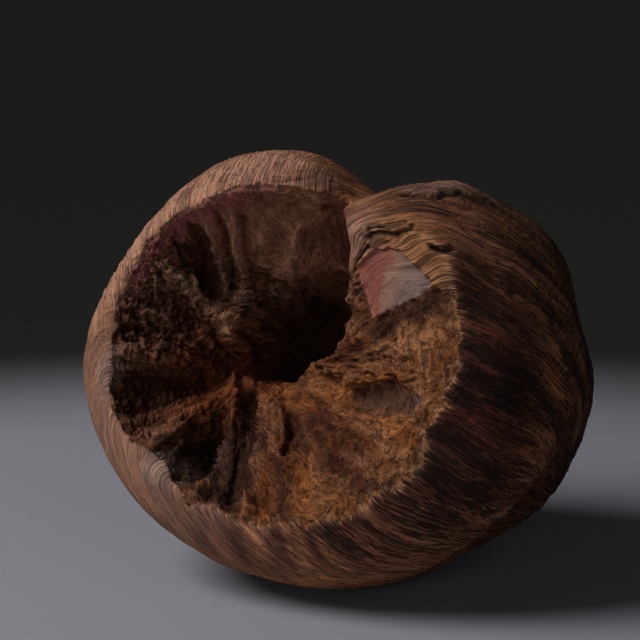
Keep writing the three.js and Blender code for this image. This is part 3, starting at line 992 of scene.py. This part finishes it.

# %% [markdown]
# ## The nose and the cracks
# The nose above the facet is rubbed pale, with a black patch on it where the cracks run. Cracks and beetle
# holes are painted black inside, as painted shade, and the relief of the cracks is their mask too, so colour
# and depth can't come apart. In the end the colours are kept within what real wood reflects.

# %% Nose and cracks
NOSE_TAN, BLACK_PATCH = (0.36, 0.205, 0.155), [(30, 36.5), (36, 36), (41, 38)]
nose = bell(np.hypot(p - 23, q - 35), 8) * on_front * (1 - facet)
lay(NOSE_TAN, nose * (0.75 + 0.5 * mid_streaks))
black_patch = bell(distance_to(wavy, BLACK_PATCH), 2.2) * on_front
lay(BLACK, black_patch * ease(thin_streaks + 0.5 * noise_on(smooth_lump, 1.5, 66), -0.3, 0.1) * 1.3)
# Painted shade: the insides of the cracks and holes are painted black.
lay(BLACK, np.clip(-cracks - 0.4, 0, 1) * 0.92)
paint = np.clip(paint, 0.004, 0.8)
print("mean colour", paint.mean((0, 1)).round(3))

# %% [markdown]
# ## Stand it up
# The burl rests on a small worn flat, with its face turned 26 degrees to the left and looking up by 11.
# Turning the points themselves, rather than the object, leaves the object at the origin, so its coordinates
# are the scene's.

# %% Stand it up
forward = np.array([
    -math.sin(FACE_YAW) * math.cos(FACE_PITCH),
    -math.cos(FACE_YAW) * math.cos(FACE_PITCH),
    math.sin(FACE_PITCH),
])
right = np.array([math.cos(FACE_YAW), -math.sin(FACE_YAW), 0])
face_axes = np.stack([right, np.cross(forward, right), forward])
print("the face looks along", forward.round(3))

# %% [markdown]
# ## The flat underside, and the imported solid's box
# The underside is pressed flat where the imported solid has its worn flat, and the whole is moved so that it
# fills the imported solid's box. The smooth lump is measured for this, since the fine relief isn't in the
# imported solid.

# %% Flat underside and place
smooth_standing = smooth_lump @ face_axes
ground = smooth_standing[..., 2].min() + FLAT_CUT
smooth_standing[..., 2] = np.maximum(smooth_standing[..., 2], ground)
low, high = smooth_standing.reshape(-1, 3).min(0), smooth_standing.reshape(-1, 3).max(0)
packed_low, packed_high = (np.array(corner) * 1000 for corner in cad_box)
move = (packed_low + packed_high) / 2 - (low + high) / 2
move[2] = packed_low[2] - low[2]
standing = lump @ face_axes
standing[..., 2] = np.maximum(standing[..., 2], ground)
standing += move
print("moved by", move.round(2), "mm")
print("size", (high - low).round(2), "packed", (packed_high - packed_low).round(2))

# %% [markdown]
# ## The mesh
# A burl has no seams, so one closed mesh is made by the operator for a UV sphere. Its points are numbered
# by the operator's own rule, so each one's row and column are worked out from where it is on the sphere,
# and it is then sent to its place on the burl.

# %% Mesh
burl_shape = bmesh.new()
bmesh.ops.create_uvsphere(burl_shape, u_segments=COLUMNS, v_segments=len(places) - 1, radius=1)
burl_mesh = bpy.data.meshes.new("oak_burl_wood")
burl_shape.to_mesh(burl_mesh)
burl_shape.free()
ball = np.empty(len(burl_mesh.vertices) * 3)
burl_mesh.vertices.foreach_get("co", ball)
ball = ball.reshape(-1, 3)
row = np.rint(np.arccos(np.clip(ball[:, 2], -1, 1)) / np.pi * (len(places) - 1)).astype(int)
column = np.rint(np.arctan2(ball[:, 1], ball[:, 0]) / (2 * np.pi) * COLUMNS).astype(int) % COLUMNS
burl_mesh.vertices.foreach_set("co", (standing[row, column] / 1000).ravel())
burl_mesh.polygons.foreach_set("use_smooth", [True] * len(burl_mesh.polygons))
burl_mesh.update()
print(len(burl_mesh.vertices), "points")

# %% [markdown]
# ## What each point carries
# The material needs to know the colour, the grain and the kind of wood at every point. They go along with
# the mesh as attributes, which the material reads by name. Over the left roll the fibres run from front to
# back instead of along the body's grain, so there is a second grain for it, and a soft mask with an uneven
# edge.

# %% Attributes
def give(name, kind, values):
    attribute = burl_mesh.attributes.new(name, kind, "POINT")
    field = {"FLOAT_VECTOR": "vector", "FLOAT_COLOR": "color", "FLOAT": "value"}[kind]
    attribute.data.foreach_set(field, values[row, column].astype(np.float32).ravel())


give("paint", "FLOAT_COLOR", np.concatenate([paint, np.ones(p.shape + (1,))], axis=2))
give("fan_grain", "FLOAT_VECTOR", fan)
give("body_grain", "FLOAT_VECTOR", body_grain)
give("torn", "FLOAT", torn)
give("facet", "FLOAT", facet)
give("calm", "FLOAT", np.clip(left_wall, 0, 1) * torn + 0.75 * left_skin)
roll_grain = np.stack([p + 0.2 * q, 0 * p, GRAIN_SPREAD * np.arctan2(smooth_lump[..., 2], q)], axis=2)
give("roll_grain", "FLOAT_VECTOR", roll_grain)
roll = plateau(angle_grid, 6, 20, 95, 130) * (1 - ease(place_grid, 7.6, 9.2))
give("roll", "FLOAT", ease(roll + 0.5 * noise_on(smooth_lump, 6, 68), 0.35, 0.65))
give("pores", "FLOAT", mixed(0.35, 1.0, np.clip(bell(away_from(-85), 75) + 0.3 * long_streaks, 0, 1)))
print("attributes:", [given.name for given in burl_mesh.attributes if given.domain == "POINT"])

# %% [markdown]
# ## The burl as an object
# An object puts the mesh in the scene. It rides on the imported model's only body and takes the place of the
# packed burl there.

# %% Burl object
burl = bpy.data.objects.new("oak_burl_wood", burl_mesh)
bpy.context.collection.objects.link(burl)
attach(burl, "root")
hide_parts("oak_burl")
print(burl.name, "has", len(burl_mesh.polygons), "faces")

# %% [markdown]
# ## Old oak
# Dry oak shows its pores as short dark dashes along the grain, over fibres that differ a little in tone.
# The torn face has the same fibres broken short, so it is gritty instead. The colour comes from the points,
# and noise nodes add what is finer than the mesh. Short helpers keep the node tree readable: `put` makes a
# node, `link` joins two, `attribute` reads a value that the points carry, and `sums` does arithmetic.

# %% Node helpers
wood = bpy.data.materials.new("burl_wood")
wood.use_nodes = True
nodes, links = wood.node_tree.nodes, wood.node_tree.links
surface = nodes["Principled BSDF"]


def put(kind, **settings):
    node = nodes.new(kind)
    for name, value in settings.items():
        setattr(node, name, value)
    return node


def link(source, target):
    links.new(source, target)


def attribute(name, output="Vector"):
    return put("ShaderNodeAttribute", attribute_name=name).outputs[output]


def sums(operation, first, second=None, third=None):
    node = put("ShaderNodeMath", operation=operation)
    for socket, value in zip(node.inputs, (first, second, third)):
        if isinstance(value, (int, float)):
            socket.default_value = value
        elif value is not None:
            link(value, socket)
    return node.outputs[0]


print("material", wood.name, "with", len(nodes), "nodes so far")

# %% [markdown]
# ## Noise along the grain
# A fibre is a feature that is far longer than it is wide. Ordinary noise becomes fibres when its
# coordinates are divided by the width in two directions and by the length in the third. The grain
# attributes give coordinates whose third direction is along the wood, wherever that goes.

# %% Noise along the grain
def stretched_noise(grain, width, length, detail, roughness):
    """Noise with features `width` millimetres wide and `length` times as long, along the grain."""
    scale = put("ShaderNodeVectorMath", operation="MULTIPLY")
    link(grain, scale.inputs[0])
    scale.inputs[1].default_value = (1 / width, 1 / width, 1 / (width * length))
    texture = put("ShaderNodeTexNoise")
    texture.inputs["Scale"].default_value = 1
    texture.inputs["Detail"].default_value = detail
    texture.inputs["Roughness"].default_value = roughness
    link(scale.outputs[0], texture.inputs["Vector"])
    return texture.outputs[0]


print("a fibre 0.8 mm wide and 16 times as long is", round(0.8 * 16, 1), "mm long")

# %% [markdown]
# ## Steps and blends of nodes
# `step_between` turns noise into spots with soft edges, and `blend` goes from one colour or value to
# another. The mix node has hidden sockets for each kind of data, so they are looked up by their
# identifiers.

# %% Steps and blends
def step_between(value, low, high):
    node = put("ShaderNodeMapRange", interpolation_type="SMOOTHSTEP")
    link(value, node.inputs["Value"])
    node.inputs["From Min"].default_value = low
    node.inputs["From Max"].default_value = high
    return node.outputs["Result"]


def blend(first, second, part, kind="Color"):
    node = put("ShaderNodeMix", data_type={"Color": "RGBA", "Float": "FLOAT"}[kind])
    sockets = {socket.identifier: socket for socket in node.inputs}
    for name, value in (("Factor_Float", part), (f"A_{kind}", first), (f"B_{kind}", second)):
        if isinstance(value, (int, float, tuple)):
            sockets[name].default_value = value
        else:
            link(value, sockets[name])
    return {socket.identifier: socket for socket in node.outputs}[f"Result_{kind}"]


def held_back(value, part, amount):
    """A value that is less by `amount` where `part` is 1."""
    return sums("MULTIPLY", value, sums("SUBTRACT", 1.0, sums("MULTIPLY", part, amount)))


print("still", len(nodes), "nodes, since the helpers have only been defined")

# %% [markdown]
# ## Fibres of the skin
# The pores of oak are the thin dark dashes, and they come in clusters. Two stretched noises are cut off
# high up, to leave short and long dashes, and a broader one raises or lowers the cut, which gathers them.
# On the left roll the fibres have a direction of their own. The two results are blended, and not the two
# directions, because noise that is read from a blend of coordinates would be squeezed into rings.

# %% Fibres of the skin
def fibres(grain):
    """The tone of the fibres, their dark pores and their finest strands, for one grain direction."""
    tone = stretched_noise(grain, 0.8, 16, 3, 0.7)
    clusters = sums("MULTIPLY_ADD", stretched_noise(grain, 4.5, 7, 2, 0.5), 0.55, -0.33)
    clusters = sums("ADD", clusters, sums("MULTIPLY", porous, 0.075))
    pores = step_between(sums("ADD", stretched_noise(grain, 0.38, 9, 1, 0.5), clusters), 0.55, 0.61)
    long_pores = step_between(sums("ADD", stretched_noise(grain, 0.5, 24, 1.5, 0.5), clusters), 0.555, 0.62)
    return tone, sums("MAXIMUM", pores, long_pores), stretched_noise(grain, 0.35, 16, 2, 0.6)


on_roll = attribute("roll", "Fac")
porous = attribute("pores", "Fac")
body_tone, body_dark, fine_fibres = (
    blend(over_body, over_roll, on_roll, "Float")
    for over_body, over_roll in zip(fibres(attribute("body_grain")), fibres(attribute("roll_grain")))
)
print("with the fibres of the skin:", len(nodes), "nodes")

# %% [markdown]
# ## Fibres and grit of the torn face
# Torn wood has short threads along the fan and grit in every direction. The threads use the fan's
# coordinates, and the grit the plain ones of the object, turned into millimetres. Specks are the dark gaps
# between threads.

# %% Fibres and grit of the torn face
fan_coordinates = attribute("fan_grain")
place_in_room = put("ShaderNodeTexCoord").outputs["Object"]
in_millimetres = put("ShaderNodeVectorMath", operation="SCALE")
link(place_in_room, in_millimetres.inputs[0])
in_millimetres.inputs["Scale"].default_value = 1000
torn_tone = stretched_noise(fan_coordinates, 0.7, 7, 3, 0.65)
grit = stretched_noise(in_millimetres.outputs[0], 0.8, 1, 5, 0.75)
threads = stretched_noise(fan_coordinates, 0.42, 3.2, 3, 0.7)
gaps = step_between(stretched_noise(fan_coordinates, 0.75, 2.2, 2, 0.6), 0.57, 0.66)
specks = sums("MAXIMUM", gaps, step_between(threads, 0.5, 0.64))
print("with the torn face:", len(nodes), "nodes")

# %% [markdown]
# ## The colour
# The paint of the points is made lighter and darker by the tone of the fibres, and then the pores and
# specks go over it in a dark brown that is nearly black. They are held back on the calm wall and on the
# facet, where the surface is closed.

# %% Colour
PORE_BROWN = (0.014, 0.007, 0.005, 1)
torn_part, facet_part, calm_part = (attribute(name, "Fac") for name in ("torn", "facet", "calm"))
tone = blend(body_tone, blend(torn_tone, grit, 0.5, "Float"), torn_part, "Float")
tone_range = put("ShaderNodeMapRange")
link(tone, tone_range.inputs["Value"])
for name, value in (("From Min", 0.32), ("From Max", 0.68), ("To Min", 0.5), ("To Max", 1.65)):
    tone_range.inputs[name].default_value = value
toned = put("ShaderNodeVectorMath", operation="SCALE")
link(attribute("paint", "Color"), toned.inputs[0])
link(tone_range.outputs["Result"], toned.inputs["Scale"])
body_dark_part = sums("MULTIPLY", sums("MULTIPLY", body_dark, 0.9), porous)
dark_part = blend(body_dark_part, sums("MULTIPLY", specks, 0.62), torn_part, "Float")
dark_part = held_back(held_back(dark_part, calm_part, 0.6), facet_part, 0.8)
colour = blend(toned.outputs[0], PORE_BROWN, dark_part)
link(colour, surface.inputs["Base Color"])
print("with the colour:", len(nodes), "nodes")

# %% [markdown]
# ## Roughness and the smallest relief
# Dry wood is dull, and only the facet has a slight sheen. The same noises that colour the fibres also go
# into a bump, so that pores are dark and deep in the same places. A bump is right here, since this relief
# is finer than the mesh and too small to change the outline.

# %% Roughness and small relief
BUMP_DEPTH, BUMP_STRENGTH = 0.0008, 0.9
roughness = sums("SUBTRACT", 0.88, sums("MULTIPLY", facet_part, 0.38))
link(roughness, surface.inputs["Roughness"])
surface.inputs["Specular IOR Level"].default_value = 0.15
body_height = sums("SUBTRACT", sums("ADD", fine_fibres, sums("MULTIPLY", body_tone, 0.8)), body_dark)
torn_height = sums("ADD", sums("MULTIPLY", grit, 2.6), sums("MULTIPLY", torn_tone, 2.0))
torn_height = sums("SUBTRACT", sums("SUBTRACT", torn_height, specks), threads)
height = blend(body_height, torn_height, torn_part, "Float")
height = held_back(held_back(height, facet_part, 0.9), calm_part, 0.5)
bump = put("ShaderNodeBump")
bump.inputs["Distance"].default_value = BUMP_DEPTH
bump.inputs["Strength"].default_value = BUMP_STRENGTH
link(height, bump.inputs["Height"])
link(bump.outputs["Normal"], surface.inputs["Normal"])
burl_mesh.materials.append(wood)
print("the finished material has", len(nodes), "nodes and", len(links), "links")

# %% [markdown]
# ## The floor
# The burl stands on a pale, matt floor that fades to a dark backdrop behind it. One large sheet does for
# both: its colour is painted darker with the distance from the middle, as painted shade where the light falls
# off, and a faint glow takes over, which is as dark as the world.

# %% Floor
floor_shape = bmesh.new()
bmesh.ops.create_grid(floor_shape, x_segments=1, y_segments=1, size=6)
floor_mesh = bpy.data.meshes.new("floor")
floor_shape.to_mesh(floor_mesh)
floor_shape.free()
floor = bpy.data.objects.new("floor", floor_mesh)
bpy.context.collection.objects.link(floor)
print("floor of", len(floor_mesh.polygons), "face")

# %% [markdown]
# ## The floor's paint
# From here on `put` and `link` work on the floor's own nodes. The painted fade into shade starts about a
# quarter of a metre from the middle and ends at half a metre, as soft as the real floor runs out of the
# light.

# %% Paint of the floor
BACKDROP, FLOOR_GREY, NOTHING = (0.0115, 0.0112, 0.0105, 1), (0.275, 0.28, 0.325, 1), (0, 0, 0, 1)
FADE_STARTS, FADE_ENDS = 0.24, 0.52
floor_paint = bpy.data.materials.new("pale_floor")
floor_paint.use_nodes = True
nodes, links = floor_paint.node_tree.nodes, floor_paint.node_tree.links
floor_surface = nodes["Principled BSDF"]
floor_surface.inputs["Roughness"].default_value = 0.85
floor_surface.inputs["Specular IOR Level"].default_value = 0.1
across_floor = put("ShaderNodeVectorMath", operation="LENGTH")
link(put("ShaderNodeTexCoord").outputs["Object"], across_floor.inputs[0])
# Painted shade: the floor is painted darker with the distance from the middle, as the light falls off.
far = step_between(across_floor.outputs["Value"], FADE_STARTS, FADE_ENDS)
link(blend(FLOOR_GREY, NOTHING, far), floor_surface.inputs["Base Color"])
link(blend(NOTHING, BACKDROP, far), floor_surface.inputs["Emission Color"])
floor_surface.inputs["Emission Strength"].default_value = 1
floor_mesh.materials.append(floor_paint)
print("paint of the floor:", len(nodes), "nodes")

# %% [markdown]
# ## The lights
# The shadow falls to the right with a soft edge, so the main light is a large disk up on the left. A second
# disk stands in front, just above the floor, and looks into the dish. A weak one from the right keeps the
# shaded side from going black.

# %% Lights
def soft_light(name, direction, distance, size, power, colour):
    light = bpy.data.objects.new(name, bpy.data.lights.new(name, "AREA"))
    bpy.context.collection.objects.link(light)
    light.data.shape = "DISK"
    light.data.size = size
    light.data.energy = power
    light.data.color = colour
    light.location = burl_middle + distance * Vector(direction).normalized()
    light.rotation_euler = (burl_middle - light.location).to_track_quat("-Z", "Y").to_euler()
    print(name, "light at", [round(v, 2) for v in light.location])


soft_light("key", (-0.92, -0.4, 0.95), 1.2, 0.7, 14, (1, 0.98, 0.95))
soft_light("front", (-0.3, -1, 0.04), 1.4, 0.9, 4.2, (1, 0.98, 0.96))
soft_light("fill", (0.9, -0.8, 0.7), 1.5, 1.2, 0.8, (0.9, 0.95, 1))

# %% [markdown]
# ## The backdrop
# The room behind is nearly black. The world has the same colour as the end of the floor, so no line shows
# between them, and the standard view keeps the colours as they are mixed.

# %% Backdrop
world = bpy.data.worlds.new("studio")
world.use_nodes = True
world.node_tree.nodes["Background"].inputs["Color"].default_value = BACKDROP
bpy.context.scene.world = world
bpy.context.scene.view_settings.view_transform = "Standard"
print("backdrop", BACKDROP[:3])
